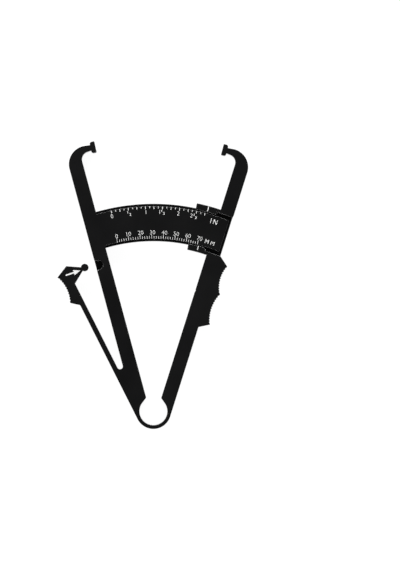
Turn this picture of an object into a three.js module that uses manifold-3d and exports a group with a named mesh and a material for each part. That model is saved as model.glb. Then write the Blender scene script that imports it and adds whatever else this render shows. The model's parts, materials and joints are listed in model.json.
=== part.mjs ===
// Skinfold caliper: two arms on a spring loop, a curved scale, and a thumb lever that shows the pressure.
// The tool is one flat moulding. Its members are modelled one by one, divided where they bend or meet.
// Lengths are in millimetres and angles in degrees. The loop's centre is the centre of every scale arc.
import * as THREE from 'three';
import { mergeVertices } from 'three/addons/utils/BufferGeometryUtils.js';
import Module from 'manifold-3d';

const wasm = await Module();
wasm.setup();

// Moulding
const thickness = 6.0; // front to back
const seam = 0.3; // gap between neighbouring members
const softEdge = 0.3; // chamfer round the outlines

// Spring loop and arms
const leftAngle = 15.15; // left arm's lean from straight up
const rightAngle = 17.55; // right arm's lean, jaws fully open
const loopRadius = 9.9; // outside
const loopWall = 2.1;
const armWidth = 8.0;
const armLength = 138.0; // from the loop's centre to the foot of the jaw
const mouthStep = 0.8; // the arms' inner corners stand this far outside the loop's bore
const mouthSlope = 2.6; // width over which the bore opens out to those corners
const mouthRound = 0.4;

// Jaws
const jawRise = 13.65; // from the foot of the jaw up to the middle of the pad
const padHeight = 6.5;
const padDepth = 2.8;
const padFrontRound = 0.45; // beside the gripping face
const padBackRound = 1.2;
const padToeAngle = 2.8; // pad faces turn in from the arms by this
const hookWidth = 3.7; // where the hook's arcs end
const neckWidth = 3.2; // where the pad begins
const hookOuterRadius = 10.4;
const hookInnerRadius = 4.4;

// Scale band
const bandInner = 95.25; // radius of its lower edge
const bandWidth = 21.0;
const bandDepth = 3.0;
const ledgeWidth = 1.45; // set-back strip along each edge and round the free end
const ledgeDepth = 1.8; // thickness left under the set-back strips
const bandEndInset = 0.3; // the free end stops this far inside the right arm's outer edge
const bandEndRound = 0.5;

// Guide on the right arm
const runClearance = 0.3; // in front of the band's ledges and behind the band
const guideClearance = 0.75; // beside the band's edges
const tabWall = 2.1;
const tabReachAngle = 5.75; // angle from the arm's own line to the tabs' free ends
const upperTabRound = 0.65;
const lowerTabRound = 0.4;
const lipOverlap = 0.7; // the lips reach over the ledges by this
const lipSetback = 1.4; // the lips stop this far before the arm, where the channel's floor begins
const upperLipRound = 0.5;
const waistRise = 1.5; // above the channel, where the arm's outer edge draws in to the band's end
const waistRound = 1.2;

// Finger grip on the right arm. The ends of its scallops lie below its top and stand out from the arm.
const highTip = { drop: 4.25, stand: 5.2 };
const midTip = { drop: 20.4, stand: 6.0 };
const lowTip = { drop: 38.2, stand: 5.7 };
const gripToe = 3.2; // the grip's foot starts this far below its lowest tip
const scallopDepth = 1.95;
const serrationPitch = 1.4;
const serrationDepth = 0.4;
const serrationSteps = 4; // along each tooth

// Pressure lever
const leverAngle = 26.75;
const leverWidth = 2.9;
const webStart = 5.0; // along the arm, where the lever's web begins to stand off it
const webTip = 0.6; // blunt top of the web, beside the arm
const slotRadius = 1.6; // round end of the slot between lever and arm
const flexLength = 17.0; // stretch of the lever that bends
const headStart = 71.0; // along the lever
const thumbFoot = { rise: 4.2, stand: 4.5 }; // ends of the serrated thumb curve, up from the head's start
const thumbFootRound = 0.7;
const thumbTop = { rise: 20.1, stand: 4.4 };
const headPeak = 3.5; // the head's top stands this far above the thumb curve
const crotchDrop = 11.0; // below the head's top, where the finger leaves the pad
const thumbHollow = 1.7;
const thumbFillet = 1.2;

// Click ball and its recess
const ballRadius = 2.15;
const ballDrop = 5.4; // below the head's top
const ballReach = 8.9; // in from the lever's inner edge
const fingerDepth = 3.0;
const neckUpperAngle = 32; // where the finger's edges meet the ball
const neckLowerAngle = -23;
const pressAngle = 9; // the lever bends by this until the ball is home in its recess
const recessClearance = 0.35;
const recessFlareAngle = 13; // opening of the recess towards the arm's edge, on each side
const recessRelief = 0.6; // its floor lies this far behind the ball

const black = 0x161617;
const armInset = loopRadius - armWidth; // the arms' inner edges stand off the loop's centre by this
const loopBore = loopRadius - loopWall;
const padRadius = armLength + jawRise;
const bandOuter = bandInner + bandWidth;
const leverInner = loopRadius - leverWidth;
const headTop = headStart + thumbTop.rise + headPeak;
const shoulderOuter = bandOuter + guideClearance;
const shoulderInner = bandInner - guideClearance;
const lipEnd = armInset - lipSetback;
const heightAt = (offset, radius) => Math.sqrt(radius ** 2 - offset ** 2); // on a line beside the centre
const gripTop = heightAt(loopRadius, shoulderInner); // where the shoulder meets the arm's edge
const lipBack = thickness - bandDepth + ledgeDepth + runClearance;
const channelFloor = thickness - bandDepth - runClearance;
const recessFloor = thickness - fingerDepth - recessRelief;
const overcut = 2; // how far a cutter passes the material

// Chord lengths of the arcs
const fineChord = 0.45;
const chord = 0.9;
const longChord = 2.5;

const radians = THREE.MathUtils.degToRad;
const degrees = THREE.MathUtils.radToDeg;
const point = (x, y) => new THREE.Vector2(x, y);
const centre = point(0, 0); // of the spring loop and the scale arcs

// Points along an arc; angles run anticlockwise from the x axis.
function arc(middle, radius, from, to, chordLength = chord) {
  const sweep = radians(to - from);
  const steps = Math.max(3, Math.ceil(Math.abs(sweep) * radius / chordLength));
  return Array.from({ length: steps + 1 }, (_, i) => {
    const angle = radians(from) + sweep * i / steps;
    return point(middle.x + radius * Math.cos(angle), middle.y + radius * Math.sin(angle));
  });
}

// Points along an arc round the loop's centre, by lean from straight up.
const ringArc = (radius, fromLean, toLean) =>
  arc(centre, radius, 90 - fromLean, 90 - toLean, radius > armLength / 2 ? longChord : chord);

// Lean of the point at this radius on a line that runs at this offset beside the centre.
const leanAt = (offset, radius) => degrees(Math.asin(offset / radius));

// An outline with its corners rounded: a corner is a point, or a point and its radius.
function rounded(corners) {
  const pointOf = (i) => [corners[(i + corners.length) % corners.length]].flat()[0];
  return corners.flatMap((corner, i) => {
    const [here, radius = 0] = [corner].flat();
    if (radius === 0) return [here];
    const back = pointOf(i - 1).clone().sub(here).normalize();
    const ahead = pointOf(i + 1).clone().sub(here).normalize();
    const half = Math.acos(back.dot(ahead)) / 2;
    const inward = back.clone().add(ahead).normalize();
    const middle = here.clone().addScaledVector(inward, radius / Math.sin(half));
    const bearing = (way) => here.clone().addScaledVector(way, radius / Math.tan(half)).sub(middle).angle();
    const start = degrees(bearing(back));
    const turn = (degrees(bearing(ahead)) - start + 540) % 360 - 180;
    return arc(middle, radius, start, start + turn, fineChord);
  });
}

// A shallow hollow curve from a to b, cut into serrations with round crests and narrow valleys.
// It bows to the left of the way from a to b, and its first and last teeth run out into its ends.
function serrations(a, b, hollow) {
  const span = b.clone().sub(a);
  const half = span.length() / 2;
  const radius = (half * half + hollow * hollow) / (2 * hollow);
  const left = point(-span.y, span.x).normalize();
  const middle = a.clone().add(b).multiplyScalar(0.5).addScaledVector(left, hollow - radius);
  const count = Math.round(2 * half / serrationPitch);
  const first = a.clone().sub(middle).angle();
  const sweep = 2 * Math.asin(half / radius);
  const steps = count * serrationSteps;
  const lead = serrationSteps / 2;
  const teeth = Array.from({ length: steps - 2 * lead + 1 }, (_, i) => {
    const along = i + lead;
    const angle = first - sweep * along / steps;
    const fromCrest = 2 * (along / serrationSteps % 1) - 1;
    const reach = radius + serrationDepth * fromCrest ** 2;
    return point(middle.x + reach * Math.cos(angle), middle.y + reach * Math.sin(angle));
  });
  return [a, ...teeth, b];
}

// The same outline for the left side of the tool.
const mirrored = (outline) => outline.map((p) => point(-p.x, p.y));

function plate(outline, back = 0, front = thickness, chamfer = softEdge) {
  const geometry = new THREE.ExtrudeGeometry(new THREE.Shape(outline), {
    depth: front - back - 2 * chamfer,
    bevelEnabled: chamfer > 0,
    bevelThickness: chamfer,
    bevelSize: chamfer,
    bevelOffset: -chamfer,
    bevelSegments: 1,
  });
  return geometry.translate(0, 0, back + chamfer);
}

function toSolid(geometry) {
  const bare = geometry.clone();
  bare.deleteAttribute('normal');
  bare.deleteAttribute('uv');
  const merged = mergeVertices(bare);
  return new wasm.Manifold(new wasm.Mesh({
    numProp: 3,
    vertProperties: merged.attributes.position.array,
    triVerts: Uint32Array.from(merged.index.array),
  }));
}

function toGeometry(solid) {
  const mesh = solid.getMesh();
  const geometry = new THREE.BufferGeometry();
  geometry.setAttribute('position', new THREE.BufferAttribute(mesh.vertProperties, 3));
  geometry.setIndex(new THREE.BufferAttribute(mesh.triVerts, 1));
  geometry.computeVertexNormals();
  return geometry;
}

const join = (a, b) => toGeometry(toSolid(a).add(toSolid(b)));
const cut = (a, b) => toGeometry(toSolid(a).subtract(toSolid(b)));

function member(name, geometry) {
  const material = new THREE.MeshStandardMaterial({ color: black, roughness: 0.5, metalness: 0 });
  const mesh = new THREE.Mesh(geometry, material);
  mesh.name = name;
  return mesh;
}

// A member's own frame has y along its line and x outwards, with the loop's centre at the origin.
function lean(angle, ...meshes) {
  const group = new THREE.Group();
  group.rotation.z = radians(angle);
  return group.add(...meshes);
}

// An arm from the loop up to the foot of its jaw. It thins into the loop on the loop's own bore.
function armOutline(outerEdge, footAngle) {
  const mouthRadius = loopBore + mouthStep;
  const corner = point(armInset, heightAt(armInset, mouthRadius));
  const meeting = degrees(Math.acos((armInset + mouthSlope) / loopBore));
  return rounded([
    [corner, mouthRound],
    point(armInset, armLength),
    point(loopRadius, armLength),
    ...outerEdge,
    ...arc(centre, loopBore, footAngle, meeting),
  ]);
}

// Pad faces lie on a line through the loop's centre. This point is at a radius on it and a depth behind it.
function padPoint(radius, depth) {
  const toe = radians(padToeAngle);
  return point(
    depth * Math.cos(toe) - radius * Math.sin(toe),
    depth * Math.sin(toe) + radius * Math.cos(toe),
  );
}

// A jaw turns in from the arm on two arcs and narrows to the neck that carries the pad.
function jawOutline() {
  const toe = radians(padToeAngle);
  const arcCentre = (x, radius) => point(x, (radius + x * Math.sin(toe)) / Math.cos(toe));
  const inner = arcCentre(armInset - hookInnerRadius, padRadius - hookWidth / 2 - hookInnerRadius);
  const outer = arcCentre(loopRadius - hookOuterRadius, padRadius + hookWidth / 2 - hookOuterRadius);
  return [
    point(armInset, armLength + seam),
    ...arc(inner, hookInnerRadius, 0, 90 + padToeAngle),
    padPoint(padRadius - neckWidth / 2, padDepth + seam),
    padPoint(padRadius + neckWidth / 2, padDepth + seam),
    ...arc(outer, hookOuterRadius, 90 + padToeAngle, 0),
    point(loopRadius, armLength + seam),
  ];
}

// A pad is a slab with rounded corners, flat on its gripping face.
function padOutline() {
  const low = padRadius - padHeight / 2;
  const high = padRadius + padHeight / 2;
  return rounded([
    [padPoint(low, padDepth), padBackRound],
    [padPoint(low, 0), padFrontRound],
    [padPoint(high, 0), padFrontRound],
    [padPoint(high, padDepth), padBackRound],
  ]);
}

// The lever leans further out than the left arm: this turns the arm's own frame into the lever's.
const leverTurn = leverAngle - leftAngle;
const armToLever = (p) => p.clone().rotateAround(centre, radians(leverTurn));
const leverToArm = (p) => p.clone().rotateAround(centre, radians(-leverTurn));

// The point of the lever's outer edge that lies this far along the arm, in the arm's frame.
const leverEdge = (along) => point(
  (loopRadius + along * Math.sin(radians(leverTurn))) / Math.cos(radians(leverTurn)),
  along,
);

// The slot's round end touches the arm's outer edge and the lever's inner edge.
const slotCentre = point(
  leverInner - slotRadius,
  (loopRadius + slotRadius - (leverInner - slotRadius) * Math.cos(radians(leverTurn)))
    / Math.sin(radians(leverTurn)),
);
const flexStart = slotCentre.y;
const bladeStart = flexStart + flexLength;
const ballCentre = point(leverInner - ballReach, headTop - ballDrop);

// The lever bends about the middle of its flexure. The ball's home is in the arm's frame.
const flexMiddle = point((leverInner + loopRadius) / 2, (flexStart + seam + bladeStart) / 2);
const ballHome = leverToArm(ballCentre.clone().rotateAround(flexMiddle, radians(pressAngle)));

// Web between the arm and the lever's root, up to the round end of the slot.
function leverRootOutline() {
  const inset = slotRadius - seam - webTip;
  const slotEnd = degrees(Math.acos(inset / slotRadius)) + leverTurn - 180;
  const tipLevel = leverToArm(slotCentre).y - Math.sqrt(slotRadius ** 2 - inset ** 2);
  return [
    armToLever(leverEdge(webStart + seam)),
    point(loopRadius, flexStart),
    ...arc(slotCentre, slotRadius, 0, slotEnd, fineChord),
    armToLever(point(loopRadius + seam, tipLevel)),
    armToLever(point(loopRadius + seam, webStart + seam)),
  ];
}

const stripOutline = (from, to) => [
  point(leverInner, from),
  point(loopRadius, from),
  point(loopRadius, to),
  point(leverInner, to),
];

// Thumb pad: a block on the lever's outer edge with a hollow serrated face.
function thumbOutline() {
  const end = (tip) => point(loopRadius + tip.stand, headStart + tip.rise);
  return rounded([
    point(leverInner, headStart + seam),
    ...arc(point(loopRadius + thumbFillet, headStart + seam), thumbFillet, 180, 110, fineChord),
    [end(thumbFoot), thumbFootRound],
    ...serrations(end(thumbFoot), end(thumbTop), thumbHollow).slice(1),
    point(leverInner, headTop),
  ]);
}

// Pointed finger that carries the click ball.
function fingerOutline() {
  return [
    point(leverInner - seam, headTop),
    ...arc(ballCentre, ballRadius, neckUpperAngle, 360 + neckLowerAngle, fineChord),
    point(leverInner - seam, headTop - crotchDrop),
  ];
}

// Half-round recess in the left arm's outer edge, round the ball's home.
function recessOutline() {
  const radius = ballRadius + recessClearance;
  const mouth = radius + Math.tan(radians(recessFlareAngle)) * (loopRadius + overcut - ballHome.x);
  return [
    point(loopRadius + overcut, ballHome.y + mouth),
    ...arc(ballHome, radius, 90, 270, fineChord),
    point(loopRadius + overcut, ballHome.y - mouth),
  ];
}

// A line that leans by this angle and runs at this offset beside the centre, with the rounding of a ring's
// inner and outer corner where the ring ends on it.
function edge(angle, offset = 0, innerRound = 0, outerRound = 0) {
  return { angle, offset, innerRound, outerRound };
}

// A stretch of ring from one such line to another.
function ringPiece(innerRadius, outerRadius, from, to) {
  const side = (radius, start, end, round) => {
    const leanOf = (line) => line.angle + leanAt(line.offset, radius);
    const points = ringArc(radius, leanOf(start), leanOf(end));
    return [[points[0], start[round]], ...points.slice(1, -1), [points.at(-1), end[round]]];
  };
  return rounded([
    ...side(outerRadius, from, to, 'outerRound'),
    ...side(innerRadius, to, from, 'innerRound'),
  ]);
}

function scaleBand() {
  const root = edge(-leftAngle, seam - armInset);
  const piece = (inset, front) => plate(
    ringPiece(
      bandInner + inset, bandOuter - inset, root,
      edge(rightAngle, loopRadius - bandEndInset - inset, bandEndRound, bandEndRound),
    ),
    thickness - bandDepth, front, 0,
  );
  const ledges = piece(0, thickness - bandDepth + ledgeDepth);
  const face = piece(ledgeWidth, thickness);
  return join(ledges, face);
}

// A tab beside the band with a lip that reaches over the band's ledge.
function guideTab(wallOutline, lipOutline) {
  return join(plate(wallOutline, 0, thickness, 0), plate(lipOutline, lipBack, thickness, 0));
}

function upperGuideTab() {
  return guideTab(
    ringPiece(
      shoulderOuter, shoulderOuter + tabWall,
      edge(-tabReachAngle, 0, 0, upperTabRound), edge(0, armInset - seam),
    ),
    ringPiece(
      bandOuter - lipOverlap, shoulderOuter + tabWall / 2,
      edge(-tabReachAngle), edge(0, lipEnd, upperLipRound),
    ),
  );
}

// The lower lip's end runs back to the tab's wall in a quarter circle.
function lowerGuideTab() {
  return guideTab(
    ringPiece(
      shoulderInner - tabWall, shoulderInner,
      edge(-tabReachAngle, 0, lowerTabRound), edge(0, armInset - seam),
    ),
    ringPiece(
      shoulderInner - tabWall / 2, bandInner + lipOverlap,
      edge(-tabReachAngle), edge(0, lipEnd, 0, lipOverlap + guideClearance),
    ),
  );
}

// Beside the channel the arm's outer edge is drawn in to the end of the scale band.
function waistEdge() {
  const shoulder = heightAt(loopRadius, shoulderOuter);
  const waist = loopRadius - bandEndInset;
  return [
    [point(loopRadius, shoulder + waistRise), waistRound],
    point(waist, shoulder),
    point(waist, gripTop),
    point(loopRadius, gripTop),
  ];
}

// The channel's floor stands out from the arm's inner edge as far as the end of the lips.
function rightArm() {
  const reach = degrees(armWidth / bandInner);
  const channel = plate(
    ringPiece(shoulderInner, shoulderOuter, edge(-reach), edge(2 * reach)),
    channelFloor, thickness + overcut, 0,
  );
  const floor = plate(
    ringPiece(
      shoulderInner + seam, shoulderOuter - seam,
      edge(0, lipEnd), edge(0, armInset + armWidth / 2),
    ),
    0, channelFloor, 0,
  );
  const arm = plate(armOutline([...waistEdge(), point(loopRadius, 0)], 0));
  return join(cut(arm, channel), floor);
}

// The left arm's foot also carries the lever, so it runs down to where the lever's edge meets the loop.
function leftArm() {
  const outerEdge = [
    point(loopRadius, webStart),
    leverEdge(webStart),
    leverToArm(point(loopRadius, 0)),
  ];
  const arm = plate(mirrored(armOutline(outerEdge, -leverTurn)));
  const recess = plate(mirrored(recessOutline()), recessFloor, thickness + overcut, 0);
  return cut(arm, recess);
}

// Finger grip: two hollow serrated scallops out from the arm's outer edge.
function gripOutline() {
  const end = (tip) => point(loopRadius + tip.stand, gripTop - tip.drop);
  return [
    point(loopRadius + seam, gripTop - lowTip.drop - gripToe),
    ...serrations(end(lowTip), end(midTip), scallopDepth),
    ...serrations(end(midTip), end(highTip), scallopDepth).slice(1),
    point(loopRadius + seam, gripTop),
  ];
}

function springLoop() {
  const gap = degrees(seam / loopRadius);
  const from = edge(rightAngle + 90 + gap);
  const to = edge(270 - leverAngle - gap);
  return plate(ringPiece(loopBore, loopRadius, from, to));
}

const leftSide = lean(
  leftAngle,
  member('left_arm', leftArm()),
  member('left_jaw', plate(mirrored(jawOutline()))),
  member('left_jaw_pad', plate(mirrored(padOutline()))),
);
const rightSide = lean(
  -rightAngle,
  member('right_arm', rightArm()),
  member('right_jaw', plate(jawOutline())),
  member('right_jaw_pad', plate(padOutline())),
  member('finger_grip', plate(gripOutline(), 0, thickness, 0)),
  member('upper_guide_tab', upperGuideTab()),
  member('lower_guide_tab', lowerGuideTab()),
);
const lever = lean(
  leverAngle,
  member('lever_root', plate(mirrored(leverRootOutline()))),
  member('lever_flexure', plate(mirrored(stripOutline(flexStart + seam, bladeStart)))),
  member('lever_blade', plate(mirrored(stripOutline(bladeStart + seam, headStart)))),
  member('thumb_pad', plate(mirrored(thumbOutline()), 0, thickness, 0)),
  member('click_finger', plate(mirrored(fingerOutline()), thickness - fingerDepth, thickness, 0)),
);

const caliper = new THREE.Group();
caliper.add(
  leftSide,
  rightSide,
  lever,
  member('spring_loop', springLoop()),
  member('scale_band', scaleBand()),
);

// The origin goes to the middle of the back of the tool's box.
const box = new THREE.Box3().setFromObject(caliper, true);
const middle = box.getCenter(new THREE.Vector3());
caliper.position.set(-middle.x, -middle.y, -box.min.z);

export default caliper;
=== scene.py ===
# Skinfold caliper: the looks of a flat black moulding, its printed scales and a white table.
# Outlines are drawn in millimetres round the centre of the spring loop and of the scale's arcs.
import json
import math
import bmesh
import bpy
from mathutils import Matrix, Vector


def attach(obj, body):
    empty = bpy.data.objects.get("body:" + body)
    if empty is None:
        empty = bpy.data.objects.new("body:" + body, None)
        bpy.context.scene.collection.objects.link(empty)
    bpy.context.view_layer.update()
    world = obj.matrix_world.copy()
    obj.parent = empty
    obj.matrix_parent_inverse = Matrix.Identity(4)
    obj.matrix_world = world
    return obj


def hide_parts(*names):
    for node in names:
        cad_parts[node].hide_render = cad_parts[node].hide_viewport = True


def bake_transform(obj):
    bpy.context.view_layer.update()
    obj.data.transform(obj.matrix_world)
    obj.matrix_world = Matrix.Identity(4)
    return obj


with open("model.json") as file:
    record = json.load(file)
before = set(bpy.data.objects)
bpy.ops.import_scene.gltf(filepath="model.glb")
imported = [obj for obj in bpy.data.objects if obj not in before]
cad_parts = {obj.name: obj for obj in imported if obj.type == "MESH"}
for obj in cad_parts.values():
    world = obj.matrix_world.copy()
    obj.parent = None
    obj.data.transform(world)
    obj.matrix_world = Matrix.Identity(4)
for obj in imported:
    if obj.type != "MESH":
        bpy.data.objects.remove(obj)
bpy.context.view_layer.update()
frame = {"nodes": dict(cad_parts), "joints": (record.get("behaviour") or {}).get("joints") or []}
print("frame loaded:", len(frame["nodes"]), "members")

mm = 0.001
joints = {joint["name"]: joint for joint in frame["joints"]}
loopPlace = Vector(joints["jaw_swing"]["pos_m"])
loopPlace.z = 0
toRow = Matrix.Translation(loopPlace) @ Matrix.Scale(mm, 4)  # from the drawing to the frame
centre = Vector((0, 0))

moulding = {
    "thickness": 6.0,
    "rimRadius": 0.28,  # rounding of the outlines' edges, front and back
    "bandRimRadius": 0.17,  # the same on the side with the scale, where the raised face is crisp
    "leverRimRadius": 0.24,
    "rimSteps": 3,
    "leanSteps": 32,  # of the scale's arcs, from straight up to the right arm
    "chord": 0.35,  # length of the steps along small curves
    "fineChord": 0.2,
    "cornerChord": 0.12,
}
arms = {
    "leftAngle": 15.15,  # lean from straight up
    "rightAngle": 17.55,
    "loopRadius": 9.9,
    "loopWall": 2.1,
    "loopChord": 0.5,
    "boreChord": 0.4,
    "width": 8.0,
    "length": 138.0,
    "mouthStep": 0.8,  # where the arms' inner edges run into the loop
    "mouthSlope": 2.6,
    "mouthRound": 0.4,
    "gateLevel": 71.5,  # nick of the moulding gate on the right arm's inner edge
    "gateWidth": 1.3,
    "gateDepth": 0.2,
    "gateFloor": 0.6,  # share of its width
}
thickness = moulding["thickness"]
leanStep = arms["rightAngle"] / moulding["leanSteps"]  # degrees between the arcs' shared points
loopRadius = arms["loopRadius"]
loopBore = loopRadius - arms["loopWall"]
armInset = loopRadius - arms["width"]  # of an arm's inner edge from the line through the centre
armMiddle = (armInset + loopRadius) / 2
cutterReach = 2.0  # how far a cutting tool stands out of what it cuts
overlap = 1.0  # of tools that meet inside the plastic


def arc(middle, radius, start, end, chord=moulding["chord"]):
    sweep = math.radians(end - start)
    steps = max(3, math.ceil(abs(sweep) * radius / chord))
    angles = [math.radians(start) + sweep * i / steps for i in range(steps + 1)]
    return [middle + radius * Vector((math.cos(a), math.sin(a))) for a in angles]


def ringArc(radius, fromLean, toLean):  # leans are measured from straight up, to the right
    # The shared points keep half a step from the ends.
    low, high = min(fromLean, toLean) / leanStep + 0.5, max(fromLean, toLean) / leanStep - 0.5
    shared = [leanStep * k for k in range(math.ceil(low), math.floor(high) + 1)]
    leans = [fromLean, *(shared if fromLean < toLean else reversed(shared)), toLean]
    return [radius * Vector((math.sin(math.radians(a)), math.cos(math.radians(a)))) for a in leans]


def leanAt(offset, radius):  # of the point at this radius on a line beside the centre
    return math.degrees(math.asin(offset / radius))


def heightAt(offset, radius):
    return math.sqrt(radius ** 2 - offset ** 2)


def rounded(corners, chord=moulding["cornerChord"]):
    # A corner with a third number is rounded to that radius.
    outline = []
    for i, corner in enumerate(corners):
        here = Vector(corner[:2])
        radius = corner[2] if len(corner) > 2 else 0
        if not radius:
            outline.append(here)
            continue
        before = (Vector(corners[i - 1][:2]) - here).normalized()
        after = (Vector(corners[(i + 1) % len(corners)][:2]) - here).normalized()
        half = before.angle(after) / 2
        middle = here + (before + after).normalized() * radius / math.sin(half)
        start = math.degrees(math.atan2(*reversed(here + before * radius / math.tan(half) - middle)))
        end = math.degrees(math.atan2(*reversed(here + after * radius / math.tan(half) - middle)))
        turn = (end - start + 180) % 360 - 180
        outline += arc(middle, radius, start, start + turn, chord)
    return outline


def turned(points, angle, mirror=False):  # from a member's own frame, y along it and x outwards
    spin = Matrix.Rotation(math.radians(angle), 2)
    return [spin @ Vector((-p.x if mirror else p.x, p.y)) for p in points]


def sector(inner, outer, fromEdge, toEdge):
    # Each edge is (lean, offset, radius of its corners), for a line that passes beside the centre.
    def corner(edge, radius):
        lean = math.radians(edge[0] + leanAt(edge[1], radius))
        return (radius * math.sin(lean), radius * math.cos(lean), edge[2])

    def between(radius, start, end):  # leaves room for the rounded corners
        points = ringArc(radius, start[0] + leanAt(start[1], radius), end[0] + leanAt(end[1], radius))
        return [
            p for p in points[1:-1]
            if (p - points[0]).length > 2 * start[2] and (p - points[-1]).length > 2 * end[2]
        ]

    return rounded([
        corner(fromEdge, outer), *between(outer, fromEdge, toEdge), corner(toEdge, outer),
        corner(toEdge, inner), *between(inner, toEdge, fromEdge), corner(fromEdge, inner),
    ])


def slab(name, outline, back, front):
    shape = bmesh.new()
    face = shape.faces.new([shape.verts.new((p.x, p.y, back)) for p in outline])
    raised = bmesh.ops.extrude_face_region(shape, geom=[face])["geom"]
    top = [part for part in raised if isinstance(part, bmesh.types.BMVert)]
    bmesh.ops.translate(shape, verts=top, vec=(0, 0, front - back))
    bmesh.ops.recalc_face_normals(shape, faces=shape.faces)
    mesh = bpy.data.meshes.new(name)
    shape.to_mesh(mesh)
    shape.free()
    piece = bpy.data.objects.new(name, mesh)
    bpy.context.scene.collection.objects.link(piece)
    return piece


def settle(piece):  # keeps what the modifiers make
    bpy.context.view_layer.update()
    made = piece.evaluated_get(bpy.context.evaluated_depsgraph_get())
    mesh = bpy.data.meshes.new_from_object(made)
    piece.modifiers.clear()
    spent = piece.data
    piece.data = mesh
    bpy.data.meshes.remove(spent)
    mesh.name = piece.name


def combine(piece, tools, operation):
    for tool in tools:
        step = piece.modifiers.new("step", "BOOLEAN")
        step.operation = operation
        step.solver = "EXACT"
        step.object = tool
        settle(piece)
        bpy.data.objects.remove(tool)


# Rims of the moulding
rimRules = {
    "merge": 0.004,  # points nearer than this are one
    "flat": 0.001,  # radians between two faces that are really one
    "offPlane": 0.01,  # how far a point may be off a plane that it belongs to
    "wallSlope": 0.02,  # a rim lies between a wall, whose normal rises less than this,
    "faceSlope": 0.98,  # and a face, whose normal rises more than this
    "sharpAngle": 35,
    "faceWeight": 100,
}


def joinFlatFaces(shape):  # the cuts leave flat faces in many parts
    bmesh.ops.remove_doubles(shape, verts=shape.verts, dist=rimRules["merge"])
    shape.normal_update()
    flat = [e for e in shape.edges if len(e.link_faces) == 2 and e.calc_face_angle(1) < rimRules["flat"]]
    bmesh.ops.dissolve_edges(shape, edges=flat, use_verts=False)
    spare = [v for v in shape.verts if not v.link_edges]
    bmesh.ops.delete(shape, geom=spare, context="VERTS")
    shape.normal_update()


def shadeSmooth(piece):
    for face in piece.data.polygons:
        face.use_smooth = True
    piece.data.set_sharp_from_angle(angle=math.radians(rimRules["sharpAngle"]))
    weigh = piece.modifiers.new("weigh", "WEIGHTED_NORMAL")
    weigh.keep_sharp = True
    weigh.weight = rimRules["faceWeight"]
    settle(piece)


def softenRims(piece, radius, marks, butts=(), sharpLevel=None):
    # Rounds the edges between faces and walls, except at the sharp level and round the butts.
    # A butt is a wall that meets another piece: (point, direction square to the wall).
    # The marks are cut last, so their edges stay crisp.
    def isButt(face):
        return any(
            all(abs((v.co.xy - point).dot(way)) < rimRules["offPlane"] for v in face.verts)
            for point, way in butts
        )

    def isRim(edge):
        if len(edge.link_faces) != 2 or not edge.is_convex:
            return False
        if sharpLevel is not None:
            if all(abs(v.co.z - sharpLevel) < rimRules["offPlane"] for v in edge.verts):
                return False
        low, high = sorted(abs(face.normal.z) for face in edge.link_faces)
        isCorner = low < rimRules["wallSlope"] and high > rimRules["faceSlope"]
        return isCorner and not any(map(isButt, edge.link_faces))

    shape = bmesh.new()
    shape.from_mesh(piece.data)
    joinFlatFaces(shape)
    rims = [edge for edge in shape.edges if isRim(edge)]
    bmesh.ops.bevel(
        shape, geom=rims, affect="EDGES", offset=radius, offset_type="OFFSET",
        segments=moulding["rimSteps"], profile=0.5, clamp_overlap=False,
    )
    shape.to_mesh(piece.data)
    shape.free()
    combine(piece, marks, "DIFFERENCE")
    shadeSmooth(piece)


# Round marks that the mould's pins leave on the back
pinMarks = {
    "radius": 2.0,
    "depth": 0.12,
    "chord": 0.5,
    "leftArm": (20, 57, 126),  # along the arm
    "rightArm": (24, 62, 128),
    "bandLeans": (-8, 1, 10),
    "grip": (10.3, 20.4),  # outwards, and below the grip's top
    "thumb": (10.4, 84),  # outwards and along the lever
}


def pinMark(x, y, back=0):
    outline = arc(Vector((x, y)), pinMarks["radius"], 0, 360, pinMarks["chord"])[:-1]
    return slab("pinMark", outline, back - overlap, back + pinMarks["depth"])


# Jaws with their pads
jaws = {
    "rise": 13.65,  # from the end of the arm's straight part to the middle of the pad
    "outerRadius": 10.4,
    "innerRadius": 4.4,
    "hookWidth": 3.7,  # where the hook's arcs end
    "neckWidth": 3.2,  # where the pad begins
    "neckCorner": 0.2,
    "padHeight": 6.5,
    "padDepth": 2.8,
    "padFrontCorner": 0.45,
    "padBackCorner": 1.2,
    "toeAngle": 2.8,  # the pad faces lie on lines through the loop's centre
}
padRadius = arms["length"] + jaws["rise"]


def padPoint(along, depth):  # along the pad's face from its middle, and back from the face
    toe = math.radians(jaws["toeAngle"])
    radius = padRadius + along
    return Vector((
        depth * math.cos(toe) - radius * math.sin(toe),
        depth * math.sin(toe) + radius * math.cos(toe),
    ))


def jawOutline():  # from the arm's inner edge, round the pad, to its outer edge
    toe = math.radians(jaws["toeAngle"])
    hookEnd = 90 + jaws["toeAngle"]
    hook, neck, half = jaws["hookWidth"] / 2, jaws["neckWidth"] / 2, jaws["padHeight"] / 2
    inner, outer, depth = jaws["innerRadius"], jaws["outerRadius"], jaws["padDepth"]

    def hookArc(x, rise, radius, start, end):
        middle = Vector((x, (padRadius + rise + x * math.sin(toe)) / math.cos(toe)))
        return arc(middle, radius, start, end)

    return rounded([
        *hookArc(armInset - inner, -hook - inner, inner, 0, hookEnd),
        (*padPoint(-neck, depth), jaws["neckCorner"]),
        (*padPoint(-half, depth), jaws["padBackCorner"]),
        (*padPoint(-half, 0), jaws["padFrontCorner"]),
        (*padPoint(half, 0), jaws["padFrontCorner"]),
        (*padPoint(half, depth), jaws["padBackCorner"]),
        (*padPoint(neck, depth), jaws["neckCorner"]),
        *hookArc(loopRadius - outer, hook - outer, outer, hookEnd, 0),
    ])


# Serrated hollows of the finger grip and the thumb rest
serration = {"pitch": 1.4, "depth": 0.4, "stepsPerTooth": 6}


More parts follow.
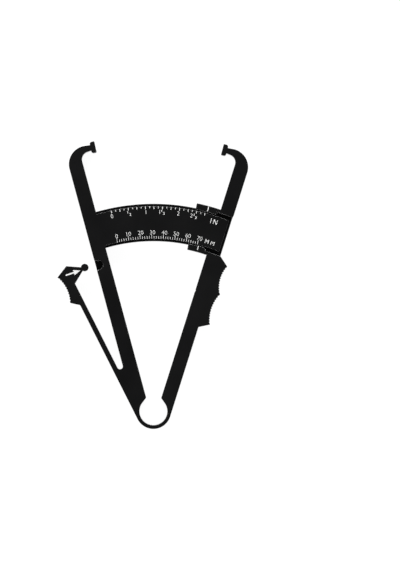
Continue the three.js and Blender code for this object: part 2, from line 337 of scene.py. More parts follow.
def serrated(a, b, hollow):  # bows to the left of the way from a to b; round crests with narrow valleys
    span = b - a
    half = span.length / 2
    radius = (half * half + hollow * hollow) / (2 * hollow)
    left = Vector((-span.y, span.x)).normalized()
    middle = (a + b) / 2 + left * (hollow - radius)
    count = round(2 * half / serration["pitch"])
    start = a - middle
    first = math.atan2(start.y, start.x)
    sweep = 2 * math.asin(half / radius)
    perTooth = serration["stepsPerTooth"]
    lead = perTooth * 2 // 3  # the outer teeth run out into the tips
    points = [a]
    for i in range(lead, count * perTooth - lead + 1):
        across = i / perTooth % 1
        reach = radius + serration["depth"] * (2 * across - 1) ** 2
        angle = first - sweep * i / (count * perTooth)
        points.append(middle + reach * Vector((math.cos(angle), math.sin(angle))))
    return [*points, b]


# Pressure lever
lever = {
    "angle": 26.75,
    "width": 2.9,
    "slotRadius": 1.6,
    "flexLength": 17.0,
    "flexStep": 1.0,  # between its cross-sections
    "headStart": 71.0,
    "thumbFoot": (14.4, 75.2),
    "thumbFootRound": 0.7,
    "thumbTop": (14.3, 91.1),
    "headTop": 94.6,
    "crotch": 83.6,
    "thumbHollow": 1.7,
    "thumbFillet": 1.2,
    "filletAngles": (180, 110),
    "ballRadius": 2.15,
    "ballReach": 8.9,
    "ballDrop": 5.4,
    "ballChord": 0.25,
    "neckAngles": (32, 327),  # where the finger meets the ball
    "fingerDepth": 3.0,
}
leverInner = loopRadius - lever["width"]
leverTurn = lever["angle"] - arms["leftAngle"]
slotX = leverInner - lever["slotRadius"]
slotSpan = loopRadius + lever["slotRadius"] - slotX * math.cos(math.radians(leverTurn))
slotCentre = Vector((slotX, slotSpan / math.sin(math.radians(leverTurn))))
flexStart = slotCentre.y
ball = Vector((leverInner - lever["ballReach"], lever["headTop"] - lever["ballDrop"]))

# Left side: arm, jaw, pad, lever root and the spring loop in one outline
armMouth = Vector((armInset, heightAt(armInset, loopBore + arms["mouthStep"])))
mouthLean = math.degrees(math.acos((armInset + arms["mouthSlope"]) / loopBore))


def frameOutline():
    mouth, *arm = turned([armMouth, *jawOutline()], arms["leftAngle"], mirror=True)
    slot = arc(slotCentre, lever["slotRadius"], leverTurn - 180, 0, moulding["fineChord"])
    edge = [Vector((loopRadius, flexStart)), Vector((loopRadius, 0))]
    root = turned([*slot, *edge], lever["angle"], mirror=True)
    ringEnd = 360 - arms["rightAngle"]
    ring = arc(centre, loopRadius, 180 + lever["angle"], ringEnd, arms["loopChord"])[1:]
    bore = arc(centre, loopBore, ringEnd, 180 - mouthLean + arms["leftAngle"], arms["boreChord"])
    return rounded([(*mouth, arms["mouthRound"]), *arm, *root, *ring, *bore])


band = {
    "inner": 95.25,
    "width": 21.0,
    "depth": 3.0,
    "ledgeWidth": 1.45,
    "ledgeDepth": 1.8,
    "endInset": 0.3,
    "endCorner": 0.5,
    "rootOverlap": 2.0,  # how far it runs into the left arm
}
bandOuter = band["inner"] + band["width"]
bandBack = thickness - band["depth"]


def bandSlabs():
    def block(name, inset, front):
        root = (-arms["leftAngle"], -armInset - band["rootOverlap"], 0)
        end = (arms["rightAngle"], loopRadius - band["endInset"] - inset, band["endCorner"])
        return slab(name, sector(band["inner"] + inset, bandOuter - inset, root, end), bandBack, front)

    return [
        block("ledges", 0, bandBack + band["ledgeDepth"]),
        block("raisedFace", band["ledgeWidth"], thickness),
    ]


click = {
    "clearance": 0.35,
    "flareAngle": 13,
    "relief": 0.6,
    "bevelWidth": 0.5,  # slanted rim that leads the ball in
    "bevelDepth": 0.33,
}


def ballHome():  # where the ball goes when the lever is pressed, in the left arm's frame
    press = joints["lever_press"]
    pivot = (Vector(press["pos_m"]) - loopPlace).xy / mm
    swing = Matrix.Rotation(-math.radians(press["range_deg"][1]), 2)
    resting = turned([ball], lever["angle"], mirror=True)[0]
    home = turned([pivot + swing @ (resting - pivot)], -arms["leftAngle"])[0]
    return Vector((-home.x, home.y))


def recessOutline(grow=0):  # half-round recess round the ball's home
    home = ballHome()
    radius = lever["ballRadius"] + click["clearance"]
    edge = loopRadius + cutterReach
    mouth = radius + math.tan(math.radians(click["flareAngle"])) * (edge - home.x) + grow
    bowl = arc(home, radius, 90, 270, lever["ballChord"])
    bowl = [home + (p - home) * (radius + grow) / radius for p in bowl]
    outline = [Vector((edge, home.y + mouth)), *bowl, Vector((edge, home.y - mouth))]
    return turned(outline, arms["leftAngle"], mirror=True)


def recessSlabs():
    floor = thickness - lever["fingerDepth"] - click["relief"]
    narrow, wide = recessOutline(), recessOutline(2 * click["bevelWidth"])
    straight = slab("recess", narrow, floor, thickness + cutterReach)
    slant = slab("recessBevel", narrow, thickness - click["bevelDepth"], thickness + click["bevelDepth"])
    top = [v for v in slant.data.vertices if v.co.z > thickness]
    for vertex in top:  # its sides slant out to the wide outline
        nearest = min(range(len(narrow)), key=lambda k: (narrow[k] - vertex.co.xy).length)
        vertex.co.xy = wide[nearest]
    return [straight, slant]


def buttAt(angle, x, y, mirror=False):  # the wall square to a member at this point of its own frame
    point, tip = turned([Vector((x, y)), Vector((x, y + 1))], angle, mirror)
    return point, (tip - point).normalized()


def framePins():
    marks = [Vector((armMiddle, y)) for y in pinMarks["leftArm"]]
    marks = [pinMark(*p) for p in turned(marks, arms["leftAngle"], mirror=True)]
    bandMiddle = Vector((0, band["inner"] + band["width"] / 2))
    return marks + [pinMark(*turned([bandMiddle], -lean)[0], bandBack) for lean in pinMarks["bandLeans"]]


leverButt = buttAt(lever["angle"], leverInner, flexStart, mirror=True)
loopButt = buttAt(-arms["rightAngle"], loopRadius, 0)
frameSkin = slab("frameSkin", frameOutline(), 0, thickness)
combine(frameSkin, bandSlabs(), "UNION")
combine(frameSkin, recessSlabs(), "DIFFERENCE")
softenRims(frameSkin, moulding["bandRimRadius"], framePins(), [leverButt, loopButt])
print("left arm, band and loop:", len(frameSkin.data.polygons), "faces")

# Right side: arm, jaw, pad, finger grip and the guide
guide = {
    "backClearance": 0.3,  # behind the band, and in front of its ledges
    "sideClearance": 0.75,
    "tabWall": 2.1,
    "reachAngle": 5.75,
    "lipOverlap": 0.7,
    "lipSetback": 1.4,
    "corner": 0.5,  # of the tabs' free ends
    "upperLipRound": 0.5,
    "shoulderRise": 1.5,  # the arm's outer corner above the channel is drawn in from here
    "shoulderRound": 1.2,
    "shoulderLead": 10.0,  # how far up the straight edge is drawn before that corner
    "footRise": 0.15,  # the floor's edge steps out again just above the lower shoulder
}
shoulderOuter = bandOuter + guide["sideClearance"]
shoulderInner = band["inner"] - guide["sideClearance"]
gripTop = heightAt(loopRadius, shoulderInner)
channelFloor = bandBack - guide["backClearance"]
lipBack = bandBack + band["ledgeDepth"] + guide["backClearance"]
lipEnd = armInset - guide["lipSetback"]

grip = {  # ends of the scallops: (below the grip's top, out from the arm's edge)
    "highTip": (4.25, 5.2),
    "midTip": (20.4, 6.0),
    "lowTip": (38.2, 5.7),
    "toe": 3.2,
    "hollow": 1.95,
}


def gripOutline():  # from the grip's top down to its foot
    def tip(name):
        drop, stand = grip[name]
        return Vector((loopRadius + stand, gripTop - drop))

    scallops = serrated(tip("lowTip"), tip("midTip"), grip["hollow"])
    scallops += serrated(tip("midTip"), tip("highTip"), grip["hollow"])[1:]
    foot = Vector((loopRadius, gripTop - grip["lowTip"][0] - grip["toe"]))
    return [Vector((loopRadius, gripTop)), *reversed(scallops), foot]


def gateNick():
    level, half = arms["gateLevel"], arms["gateWidth"] / 2
    floor, floorHalf = armInset + arms["gateDepth"], half * arms["gateFloor"]
    return [
        Vector((armInset, level - half)), Vector((floor, level - floorHalf)),
        Vector((floor, level + floorHalf)), Vector((armInset, level + half)),
    ]


def channelEdge():  # the arm's outer edge past the channel, downwards
    shoulder = heightAt(loopRadius, shoulderOuter)
    waist = loopRadius - band["endInset"]
    foot = gripTop + guide["footRise"]
    return rounded([
        (loopRadius, shoulder + guide["shoulderLead"]),
        (loopRadius, shoulder + guide["shoulderRise"], guide["shoulderRound"]),
        (waist, shoulder - guide["footRise"]), (waist, foot), (loopRadius, foot),
    ])[1:]


def swingOutline():
    bore = arc(centre, loopBore, 0, mouthLean, arms["boreChord"])
    outline = rounded([
        (*armMouth, arms["mouthRound"]), *gateNick(), *jawOutline(), *channelEdge(), *gripOutline(),
        Vector((loopRadius, 0)), *bore,
    ])
    return turned(outline, -arms["rightAngle"])


def guideSlab():
    freeEnd = arms["rightAngle"] - guide["reachAngle"]
    block = sector(
        shoulderInner - guide["tabWall"], shoulderOuter + guide["tabWall"],
        (freeEnd, 0, guide["corner"]), (arms["rightAngle"], armInset + cutterReach, 0),
    )
    return slab("guide", block, 0, thickness)


def openFaceOutline(lipInner, lipOuter):  # the arm's open stretch, with the lips' rounded ends
    def beside(x, radius):  # in the arm's own frame
        return Vector((x, heightAt(x, radius)))

    def lipRound(side, lipRadius, size, start, end):
        middle = beside(lipEnd - size, lipRadius + side * size)
        return arc(middle, size, start, end, moulding["fineChord"])

    pastArm = leanAt(loopRadius, shoulderInner) + guide["reachAngle"]
    return turned([
        beside(lipEnd, shoulderOuter),
        *lipRound(1, lipOuter, guide["upperLipRound"], 0, -90),
        beside(lipEnd - cutterReach, lipOuter - overlap),
        beside(lipEnd - cutterReach, lipInner + overlap),
        *lipRound(-1, lipInner, lipInner - shoulderInner, 90, 0),
        *ringArc(shoulderInner, leanAt(lipEnd, shoulderInner), pastArm)[1:],
        *reversed(ringArc(shoulderOuter, leanAt(lipEnd, shoulderOuter), pastArm)[1:]),
    ], -arms["rightAngle"])


def channelSlabs():
    before = (arms["rightAngle"] - 2 * guide["reachAngle"], 0, 0)
    floorEdge = (arms["rightAngle"], lipEnd, 0)
    beyond = (arms["rightAngle"] + 2 * guide["reachAngle"], 0, 0)
    lipInner, lipOuter = band["inner"] + guide["lipOverlap"], bandOuter - guide["lipOverlap"]
    through = sector(shoulderInner, shoulderOuter, before, floorEdge)
    floor = sector(shoulderInner, shoulderOuter, before, beyond)
    lips = sector(lipInner, lipOuter, before, beyond)
    openFace = openFaceOutline(lipInner, lipOuter)
    return [
        slab("through", through, -cutterReach, channelFloor + overlap),
        slab("floor", floor, channelFloor, lipBack),
        slab("lips", lips, lipBack - overlap, thickness + cutterReach),
        slab("openFace", openFace, lipBack - overlap, thickness + cutterReach),
    ]


def swingPins():
    out, drop = pinMarks["grip"]
    places = [*(Vector((armMiddle, y)) for y in pinMarks["rightArm"]), Vector((out, gripTop - drop))]
    return [pinMark(*p) for p in turned(places, -arms["rightAngle"])]


swingSkin = slab("swingSkin", swingOutline(), 0, thickness)
combine(swingSkin, [guideSlab()], "UNION")
combine(swingSkin, channelSlabs(), "DIFFERENCE")
softenRims(swingSkin, moulding["rimRadius"], swingPins(), [loopButt], channelFloor)
print("right arm, grip and guide:", len(swingSkin.data.polygons), "faces")


# Lever: bending stretch, blade, thumb rest and finger
def leverOutline():
    steps = round(lever["flexLength"] / lever["flexStep"])
    levels = [flexStart + lever["flexLength"] * i / steps for i in range(steps + 1)]
    rise = [Vector((leverInner, y)) for y in levels]
    fall = [Vector((loopRadius, y)) for y in reversed(levels)]
    filletCentre = Vector((loopRadius + lever["thumbFillet"], lever["headStart"]))
    fillet = arc(filletCentre, lever["thumbFillet"], *lever["filletAngles"], moulding["fineChord"])
    thumb = serrated(Vector(lever["thumbFoot"]), Vector(lever["thumbTop"]), lever["thumbHollow"])
    thumb[0] = (*thumb[0], lever["thumbFootRound"])
    head = [Vector((leverInner, lever["headTop"])), *reversed(thumb), *reversed(fillet)]
    return turned(rounded([*rise, *head, *fall]), lever["angle"], mirror=True)


def fingerSlab():
    root = leverInner + lever["width"] / 2  # it runs this far into the lever
    outline = [
        Vector((leverInner, lever["headTop"])),
        *arc(ball, lever["ballRadius"], *lever["neckAngles"], lever["ballChord"]),
        Vector((leverInner, lever["crotch"])),
        Vector((root, lever["crotch"])),
        Vector((root, lever["headTop"] - lever["width"] / 2)),
    ]
    outline = turned(outline, lever["angle"], mirror=True)
    return slab("finger", outline, thickness - lever["fingerDepth"], thickness)


leverSkin = slab("leverSkin", leverOutline(), 0, thickness)
combine(leverSkin, [fingerSlab()], "UNION")
leverPin = pinMark(*turned([Vector(pinMarks["thumb"])], lever["angle"], mirror=True)[0])
softenRims(leverSkin, moulding["leverRimRadius"], [leverPin], [leverButt])
print("lever:", len(leverSkin.data.polygons), "faces")

for piece in (frameSkin, swingSkin, leverSkin):
    piece.data.transform(toRow)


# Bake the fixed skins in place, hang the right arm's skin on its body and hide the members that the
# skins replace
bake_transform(frameSkin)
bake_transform(leverSkin)
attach(swingSkin, "swing_arm")
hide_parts("left_arm", "left_jaw", "left_jaw_pad", "lever_root", "spring_loop", "scale_band")
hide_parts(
    "right_arm", "right_jaw", "right_jaw_pad", "finger_grip",
    "upper_guide_tab", "lower_guide_tab",
)
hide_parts("lever_flexure", "lever_blade", "thumb_pad", "click_finger")

# Printed marks, a thin raised film
film = {
    "rise": 0.03,
    "sunk": 0.05,
    "cornerRound": 0.08,  # of ticks and index lines
    "cornerChord": 0.06,
    "figureHeight": 2.2,
    "figureWeight": -0.014,  # of the font's strokes
    "curveSteps": 4,
}
filmBack, filmFront = thickness - film["sunk"], thickness + film["rise"]


def bar(lean, inner, outer, width):
    half, corner = width / 2, film["cornerRound"]
    outline = rounded([
        (-half, inner, corner), (half, inner, corner), (half, outer, corner), (-half, outer, corner),
    ], film["cornerChord"])
    return turned(outline, -lean)


def filmPiece(name, outlines, figures=()):
    shape = bmesh.new()
    for outline in outlines:
        part = slab(name, outline, filmBack, filmFront)
        shape.from_mesh(part.data)
        bpy.data.objects.remove(part)
    for mesh in figures:
        shape.from_mesh(mesh)
    mesh = bpy.data.meshes.new(name)
    shape.to_mesh(mesh)
    shape.free()
    piece = bpy.data.objects.new(name, mesh)
    bpy.context.scene.collection.objects.link(piece)
    mesh.transform(toRow)
    return piece


def lettering(text, height, lean, radius, narrow=1.0, weight=0.0):
    # A word whose middle stands at this radius and lean, sized by the height of its capitals.
    curve = bpy.data.curves.new("figure", "FONT")
    curve.body = text
    curve.size = 1
    curve.extrude = 0.5  # to both sides, so it is one unit deep
    curve.offset = weight
    curve.resolution_u = film["curveSteps"]
    holder = bpy.data.objects.new("figure", curve)
    bpy.context.scene.collection.objects.link(holder)
    bpy.context.view_layer.update()
    mesh = bpy.data.meshes.new_from_object(holder.evaluated_get(bpy.context.evaluated_depsgraph_get()))
    bpy.data.objects.remove(holder)
    low = Vector(min(v.co[k] for v in mesh.vertices) for k in range(2))
    high = Vector(max(v.co[k] for v in mesh.vertices) for k in range(2))
    size = height / (high.y - low.y)
    middle = (low + high) / 2
    mesh.transform(Matrix.Translation((-middle.x, -middle.y, 0)))
    mesh.transform(Matrix.Diagonal((size * narrow, size, filmFront - filmBack, 1)))
    mesh.transform(Matrix.Translation((0, radius, (filmFront + filmBack) / 2)))
    mesh.transform(Matrix.Rotation(math.radians(-lean), 4, "Z"))
    return mesh


mmMarks = {
    "zeroLean": -12.0,
    "leanPerMm": 0.382,
    "mmPerTick": 2,
    "ticks": 36,
    "ticksPerFigure": 5,
    "tickWidth": 0.23,
    "foot": 96.75,
    "minorTop": 98.1,
    "majorTop": 99.1,
    "figureRadius": 100.25,
    "figureShift": 0.14,  # degrees for each digit
}


def mmScale():
    bars, figures = [], []
    for i in range(mmMarks["ticks"]):
        value = i * mmMarks["mmPerTick"]
        lean = mmMarks["zeroLean"] + value * mmMarks["leanPerMm"]
        isMajor = i % mmMarks["ticksPerFigure"] == 0
        top = mmMarks["majorTop" if isMajor else "minorTop"]
        bars.append(bar(lean, mmMarks["foot"], top, mmMarks["tickWidth"]))
        if isMajor:
            shifted = lean + mmMarks["figureShift"] * len(str(value))
            figures.append(lettering(
                str(value), film["figureHeight"], shifted, mmMarks["figureRadius"],
                weight=film["figureWeight"],
            ))
    return filmPiece("mmScale", bars, figures)


inchMarks = {
    "zeroLean": -11.88,
    "leanPerEighth": 1.2055,
    "ticks": 23,
    "tickWidth": 0.33,
    "top": 114.75,
    "eighthFoot": 113.75,
    "quarterFoot": 113.3,
    "figureRadius": 111.7,
    "figures": [("0", -11.97), ("1", -2.13), ("1", 1.82), ("2", 7.16), ("2", 11.02)],
    "halfLeans": (-7.01, 2.72, 12.07),  # a small 1 over a small 2, without a stroke between them
    "halfHeights": (1.15, 1.4),
    "halfWeights": (0.06, 0.025),
    "halfShift": (0.33, 0.65),  # degrees and millimetres from its middle
}


def inchScale():
    bars, figures = [], []
    for i in range(inchMarks["ticks"]):
        lean = inchMarks["zeroLean"] + i * inchMarks["leanPerEighth"]
        foot = inchMarks["eighthFoot" if i % 2 else "quarterFoot"]
        bars.append(bar(lean, foot, inchMarks["top"], inchMarks["tickWidth"]))
    radius = inchMarks["figureRadius"]
    for text, lean in inchMarks["figures"]:
        figures.append(lettering(text, film["figureHeight"], lean, radius, weight=film["figureWeight"]))
    aside, rise = inchMarks["halfShift"]
    upper, lower = inchMarks["halfHeights"]
    upperWeight, lowerWeight = inchMarks["halfWeights"]
    for lean in inchMarks["halfLeans"]:
        figures.append(lettering("1", upper, lean - aside, radius + rise, weight=upperWeight))
        figures.append(lettering("2", lower, lean + aside, radius - rise, weight=lowerWeight))
    return filmPiece("inchScale", bars, figures)


units = {
    "inHeight": 2.7,
    "inRadius": 111.5,
    "inLeans": {"I": 16.82, "N": 18.14},
    "inNarrow": 0.86,
    "mmHeight": 2.2,
    "mmRadius": 99.7,
    "mmLeans": (17.48, 19.4),
}


def unitLetters():
    inches = [
        lettering(letter, units["inHeight"], lean, units["inRadius"], units["inNarrow"])
        for letter, lean in units["inLeans"].items()
    ]
    millimetres = [
        lettering("M", units["mmHeight"], lean, units["mmRadius"])
        for lean in units["mmLeans"]
    ]
    return filmPiece("unitLetters", [], inches + millimetres)


indexMarks = {  # lines on the guide's tabs: lean, inner radius, outer radius
    "upper": (15.15, 116.1, 118.8),
    "lower": (15.25, 93.75, 95.95),
    "width": 0.46,
}


def indexFilm():
    lines = [bar(*indexMarks[name], indexMarks["width"]) for name in ("upper", "lower")]
    return filmPiece("indexMarks", lines)


photo = {
    "pixel": 0.56,  # millimetres on the tool for each pixel
    "loopCentre": (153.35, 411.3),  # pixels
    "height": 570,
}
arrow = {
    "tail": (65.6, 275.4),  # pixels of the photograph
    "tip": (80.6, 270.3),
    "shaft": 0.78,
    "tailRound": 0.9,  # share of half the shaft's width
    "headLength": 3.9,
    "headWidth": 3.0,
    "barbSweep": 0.2,
    "pointRound": 0.15,
}


def arrowFilm():
    def fromPixel(x, y):
        left, top = photo["loopCentre"]
        return Vector(((x - left) * photo["pixel"], (top - y) * photo["pixel"]))

    tail, tip = fromPixel(*arrow["tail"]), fromPixel(*arrow["tip"])
    length = (tip - tail).length
    neck = length - arrow["headLength"]
    half, wing = arrow["shaft"] / 2, arrow["headWidth"] / 2
    tailRound = half * arrow["tailRound"]
    barb, point = neck - arrow["barbSweep"], arrow["pointRound"]
    outline = rounded([
        (0, -half, tailRound), (neck, -half), (barb, -wing, point), (length, 0, point),
        (barb, wing, point), (neck, half), (0, half, tailRound),
    ])
    spin = Matrix.Rotation(math.atan2(*reversed(tip - tail)), 2)
    return filmPiece("arrowMark", [[tail + spin @ p for p in outline]])


scaleFilms = [mmScale(), inchScale(), unitLetters()]
indexPiece = indexFilm()
arrowPiece = arrowFilm()
for piece in scaleFilms:
    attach(piece, "scale_arm")
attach(indexPiece, "swing_arm")
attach(arrowPiece, "press_lever")
print("marks printed")


# Finishes
def nodeTree(material):
    material.use_nodes = True
    tree = material.node_tree
    tree.nodes.clear()
    return tree


def addNode(tree, kind, inputs=(), **values):  # inputs are (socket, value or the output that feeds it)
    node = tree.nodes.new(kind)
    for name, value in values.items():
        setattr(node, name, value)
    for socket, value in inputs:
        if isinstance(value, bpy.types.NodeSocket):
            tree.links.new(value, node.inputs[socket])
        else:
            node.inputs[socket].default_value = value
    return node


def newGroup(name, inputs, outputs):
    group = bpy.data.node_groups.new(name, "ShaderNodeTree")
    for label, value in inputs:
        socket = group.interface.new_socket(label, in_out="INPUT", socket_type="NodeSocketFloat")
        socket.default_value = value
    for label, kind in outputs:
        group.interface.new_socket(label, in_out="OUTPUT", socket_type=kind)
    return group, addNode(group, "NodeGroupInput").outputs, addNode(group, "NodeGroupOutput").inputs


def sums(tree, operation, *terms):
    return addNode(tree, "ShaderNodeMath", list(enumerate(terms)), operation=operation).outputs[0]


def rising(tree, value, low, high):  # 0 below low, 1 above high
    ramp = addNode(tree, "ShaderNodeMapRange", [("Value", value), ("From Min", low), ("From Max", high)])
    return ramp.outputs["Result"]


def cloud(tree, where, scale, detail, low=0.3, high=0.7):
    noise = addNode(tree, "ShaderNodeTexNoise", [
        ("Vector", where), ("Scale", scale), ("Detail", detail),
    ])
    return rising(tree, noise.outputs["Fac"], low, high)


def blendValue(tree, factor, low, high):
    mix = addNode(tree, "ShaderNodeMix", [("Factor", factor), ("A", low), ("B", high)])
    return mix.outputs["Result"]


def blendColour(tree, factor, low, high):  # a Mix node's colours are its inputs 6 and 7 and its output 2
    mix = addNode(tree, "ShaderNodeMix", [("Factor", factor), (6, low), (7, high)], data_type="RGBA")
    return mix.outputs[2]


def objectPlace(tree):
    return addNode(tree, "ShaderNodeTexCoord").outputs["Object"]


def zOf(tree, vector):
    return addNode(tree, "ShaderNodeSeparateXYZ", [("Vector", vector)]).outputs["Z"]


grainLook = {
    "size": 9000.0,
    "detail": 3,
    "height": 0.04 * mm,
    "patchSize": 60,
    "patchDetail": 4,
}


def mouldGrain():  # fine spark texture, with slow patches of more and less gloss
    group, given, out = newGroup(
        "mouldGrain",
        [("Grain", grainLook["size"]), ("Depth", 0.2), ("Roughness", 0.5), ("Spread", 0.1)],
        [("Roughness", "NodeSocketFloat"), ("Normal", "NodeSocketVector")],
    )
    where = objectPlace(group)
    fine = addNode(group, "ShaderNodeTexNoise", [
        ("Vector", where), ("Scale", given["Grain"]), ("Detail", grainLook["detail"]),
    ])
    bump = addNode(group, "ShaderNodeBump", [
        ("Distance", grainLook["height"]), ("Strength", given["Depth"]), ("Height", fine.outputs["Fac"]),
    ])
    patches = cloud(group, where, grainLook["patchSize"], grainLook["patchDetail"])
    patches = sums(group, "SUBTRACT", patches, 0.5)  # as much above as below
    gloss = sums(group, "MULTIPLY_ADD", patches, given["Spread"], given["Roughness"])
    group.links.new(bump.outputs["Normal"], out["Normal"])
    group.links.new(gloss, out["Roughness"])
    return group


sidesLook = {
    "margin": 0.3 * mm,  # how far behind its faces the tool still counts as face
    "levelLimits": (0.85, 0.99),  # how far a face's normal rises
    "patchiness": 240,
    "patchDetail": 5,
    "patchLimits": (0.25, 0.55),
}


def mouldSides():  # where the mould was textured and not polished, and where hands have rubbed the rims; the first mask also puts painted shade on everything off the faces, and the second also paints glints on the rims
    look = sidesLook
    group, given, out = newGroup(
        "mouldSides",
        [("Front", thickness * mm), ("Margin", look["margin"]), ("Patchiness", look["patchiness"])],
        [("TexturedElsePaintedShade", "NodeSocketFloat"), ("RubbedAndPaintedGlint", "NodeSocketFloat")],
    )
    where = objectPlace(group)
    height = zOf(group, where)
    facing = addNode(group, "ShaderNodeNewGeometry").outputs["Normal"]
    level = sums(group, "ABSOLUTE", zOf(group, facing))
    frontMargin = sums(group, "SUBTRACT", given["Front"], given["Margin"])
    nearFront = sums(group, "GREATER_THAN", height, frontMargin)
    nearBack = sums(group, "LESS_THAN", height, given["Margin"])
    outside = sums(group, "MAXIMUM", nearFront, nearBack)
    # the textured faces keep the plain tone; walls, ledges and floors off them get a darker tone, which
    # is painted shade
    textured = sums(group, "MULTIPLY", outside, rising(group, level, *look["levelLimits"]))
    slope = sums(group, "MULTIPLY", level, sums(group, "SUBTRACT", 1, level))
    rim = sums(group, "MULTIPLY", slope, 4)  # 1 half way round a rim, 0 on walls and faces
    patches = cloud(group, where, given["Patchiness"], look["patchDetail"], *look["patchLimits"])
    # rubbed rims: real wear, and also a painted glint along the rounded edges
    wornAndPaintedGlint = sums(group, "MULTIPLY", sums(group, "MULTIPLY", rim, patches), outside)
    group.links.new(textured, out["TexturedElsePaintedShade"])
    group.links.new(wornAndPaintedGlint, out["RubbedAndPaintedGlint"])
    return group


plasticLook = {
    # painted shade: the darker tone of the walls, ledges and floors off the faces
    "polishedPaintedShade": (0.0020, 0.0020, 0.0021, 1),
    "texturedDark": (0.0044, 0.0044, 0.0046, 1),
    "texturedLight": (0.0058, 0.0058, 0.0060, 1),
    # the lighter rims are rubbed wear and also a painted glint
    "rubbedAndPaintedGlint": (0.016, 0.016, 0.017, 1),
    "cloudSize": 35,
    "cloudDetail": 5,
    "polishedRoughness": 0.28,
    "texturedRoughness": 0.46,
    "specular": 0.12,
    "rimShine": 1.0,  # the polished rims and walls shine more than the textured faces
    "rimRoughness": 0.28,
    "spread": 0.12,
    "grainDepth": 0.5,
}


def blackPlastic(grainGroup, sidesGroup):
    look = plasticLook
    material = bpy.data.materials.new("blackPlastic")
    tree = nodeTree(material)
    side = addNode(tree, "ShaderNodeGroup", node_tree=sidesGroup).outputs
    depth = sums(tree, "MULTIPLY", side["TexturedElsePaintedShade"], look["grainDepth"])
    surface = addNode(tree, "ShaderNodeGroup", [
        ("Depth", depth), ("Roughness", look["texturedRoughness"]), ("Spread", look["spread"]),
    ], node_tree=grainGroup).outputs
    clouds = cloud(tree, objectPlace(tree), look["cloudSize"], look["cloudDetail"])
    textured = blendColour(tree, clouds, look["texturedDark"], look["texturedLight"])
    # painted shade: walls, ledges and floors are darker than the textured faces
    tone = blendColour(tree, side["TexturedElsePaintedShade"], look["polishedPaintedShade"], textured)
    # rubbed wear on the rims, and also a painted glint
    tone = blendColour(tree, side["RubbedAndPaintedGlint"], tone, look["rubbedAndPaintedGlint"])
    gloss = blendValue(tree, side["TexturedElsePaintedShade"], look["polishedRoughness"], surface["Roughness"])
    shine = blendValue(tree, side["TexturedElsePaintedShade"], look["rimShine"], 0)
    shader = addNode(tree, "ShaderNodeBsdfPrincipled", [
        ("Base Color", tone), ("Roughness", gloss), ("Normal", surface["Normal"]),
        ("Specular IOR Level", look["specular"]),
        ("Coat Weight", shine), ("Coat Roughness", look["rimRoughness"]),
    ])
    addNode(tree, "ShaderNodeOutputMaterial", [("Surface", shader.outputs["BSDF"])])
    return material


printLook = {
    "thin": (0.5, 0.5, 0.49, 1),  # where the film has rubbed thin
    "full": (0.88, 0.88, 0.87, 1),
    "speckle": 1100,
    "speckleDetail": 4,
    "speckleLimits": (0.32, 0.48),
    "roughness": 0.42,
    "spread": 0.15,
    "grainDepth": 0.3,
}


def whitePrint(grainGroup):
    look = printLook
    material = bpy.data.materials.new("whitePrint")
    tree = nodeTree(material)
    surface = addNode(tree, "ShaderNodeGroup", [
        ("Depth", look["grainDepth"]), ("Roughness", look["roughness"]), ("Spread", look["spread"]),
    ], node_tree=grainGroup).outputs
    where = objectPlace(tree)
    speckle = cloud(tree, where, look["speckle"], look["speckleDetail"], *look["speckleLimits"])
    shader = addNode(tree, "ShaderNodeBsdfPrincipled", [
        ("Base Color", blendColour(tree, speckle, look["thin"], look["full"])),
        ("Roughness", surface["Roughness"]), ("Normal", surface["Normal"]),
    ])
    addNode(tree, "ShaderNodeOutputMaterial", [("Surface", shader.outputs["BSDF"])])
    return material


def coat(piece, material):
    piece.data.materials.clear()
    piece.data.materials.append(material)


grain = mouldGrain()
plastic = blackPlastic(grain, mouldSides())
ink = whitePrint(grain)
for piece in (frameSkin, swingSkin, leverSkin):
    coat(piece, plastic)
for piece in (*scaleFilms, indexPiece, arrowPiece):
    coat(piece, ink)
print("finishes set")

# Camera, as in the photograph
shot = {"distance": 2.5, "middle": (26.12, 70.73), "sensor": 36.0, "clipEnd": 50}
cameraData = bpy.data.cameras.new("camera")
cameraData.sensor_width = shot["sensor"]
cameraData.lens = shot["distance"] * shot["sensor"] / (photo["height"] * photo["pixel"] * mm)
cameraData.clip_end = shot["clipEnd"]
camera = bpy.data.objects.new("camera", cameraData)
camera.location = toRow @ Vector((*shot["middle"], thickness + shot["distance"] / mm))
bpy.context.scene.collection.objects.link(camera)
bpy.context.scene.camera = camera

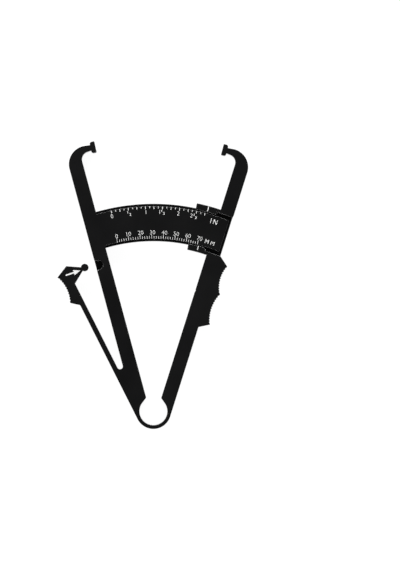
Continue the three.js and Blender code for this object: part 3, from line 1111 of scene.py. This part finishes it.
# White table, lit softly from low down, mostly from beyond the jaws
table = {
    "half": 4.0,
    "drop": 0.1 * mm,  # just under the tool's back
    "tone": (0.1, 0.1, 0.1, 1),
    "roughness": 0.8,
    "glowColour": (1, 1, 1, 1),
    "glow": 0.97,  # keeps it just white, without shadows
}
lights = {  # place, target, (width, height), watts
    "backLight": ((0.1, 1.1, 0.42), (0, 0, 0), (1.8, 0.3), 33),
    "leftLight": ((-1.15, 0.3, 0.42), (0, 0, 0), (0.9, 0.3), 9),
    "frontLight": ((-0.15, -0.9, 0.34), (0, -0.06, 0), (0.8, 0.25), 7),
}
studio = {"horizon": 0.75, "overhead": 0.03, "fadeFrom": 0.1, "fadeTo": 0.5}  # dark straight above


def whiteTable():
    mesh = bpy.data.meshes.new("table")
    half, level = table["half"], -table["drop"]
    corners = [(-half, -half, level), (half, -half, level), (half, half, level), (-half, half, level)]
    mesh.from_pydata(corners, [], [(0, 1, 2, 3)])
    top = bpy.data.objects.new("table", mesh)
    bpy.context.scene.collection.objects.link(top)
    material = bpy.data.materials.new("whiteTable")
    tree = nodeTree(material)
    shader = addNode(tree, "ShaderNodeBsdfPrincipled", [
        ("Base Color", table["tone"]), ("Roughness", table["roughness"]),
        ("Emission Color", table["glowColour"]), ("Emission Strength", table["glow"]),
    ])
    addNode(tree, "ShaderNodeOutputMaterial", [("Surface", shader.outputs["BSDF"])])
    mesh.materials.append(material)


def softLight(name, spot, target, size, power):
    data = bpy.data.lights.new(name, "AREA")
    data.shape = "RECTANGLE"
    data.size, data.size_y = size
    data.energy = power
    lamp = bpy.data.objects.new(name, data)
    lamp.location = spot
    lamp.rotation_mode = "QUATERNION"
    lamp.rotation_quaternion = (Vector(target) - Vector(spot)).to_track_quat("-Z", "Y")
    bpy.context.scene.collection.objects.link(lamp)


def studioWorld():
    world = bpy.data.worlds.new("studio")
    bpy.context.scene.world = world
    tree = nodeTree(world)
    height = zOf(tree, addNode(tree, "ShaderNodeTexCoord").outputs["Generated"])
    fade = rising(tree, height, studio["fadeFrom"], studio["fadeTo"])
    level = blendValue(tree, fade, studio["horizon"], studio["overhead"])
    sky = addNode(tree, "ShaderNodeBackground", [("Strength", level)])
    addNode(tree, "ShaderNodeOutputWorld", [("Surface", sky.outputs["Background"])])


whiteTable()
for name, values in lights.items():
    softLight(name, *values)
studioWorld()
bpy.context.scene.view_settings.view_transform = "Standard"
bpy.context.scene.view_settings.look = "None"
print("camera, table and lights set")
